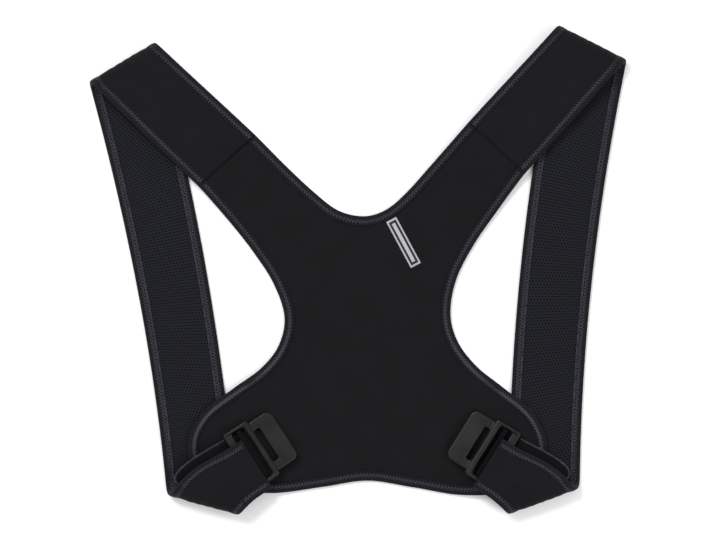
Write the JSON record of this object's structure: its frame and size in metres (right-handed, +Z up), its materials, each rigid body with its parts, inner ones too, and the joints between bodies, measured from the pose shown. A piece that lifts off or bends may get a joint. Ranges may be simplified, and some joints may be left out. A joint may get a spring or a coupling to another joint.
{
  "type": "posture corrector",
  "caption": "Back brace laid flat: an X-shaped cloth panel with padded shoulder straps that fold over, run down beneath it and fold forward to moulded buckles.",
  "frame": {"origin": "on the floor under the middle of the whole, as it lies flat", "axes": "+X to the right across the brace, +Y towards the shoulder folds, +Z up from the floor, with the panel's outer side up"},
  "size_m": [0.452, 0.411, 0.0222],
  "materials": {
    "panel_cloth": "black smooth knit laminate, matt",
    "strap_cloth": "black knit over foam padding, matt",
    "spacer_mesh": "black spacer mesh with small open cells",
    "binding_tape": "charcoal ribbed binding tape, stitched near its inner border",
    "buckle_plastic": "black moulded plastic, satin",
    "label_cloth": "plain grey woven label"
  },
  "bodies": {
    "root": {"back_panel": "panel_cloth", "neck_binding": "binding_tape", "lower_binding": "binding_tape", "woven_label": "label_cloth", "left_strap": "strap_cloth", "left_lining": "spacer_mesh", "left_inner_binding": "binding_tape", "left_outer_binding": "binding_tape", "left_tail": "strap_cloth", "left_buckle": "buckle_plastic", "right_strap": "strap_cloth", "right_lining": "spacer_mesh", "right_inner_binding": "binding_tape", "right_outer_binding": "binding_tape", "right_tail": "strap_cloth", "right_buckle": "buckle_plastic"}
  },
  "joints": []
}
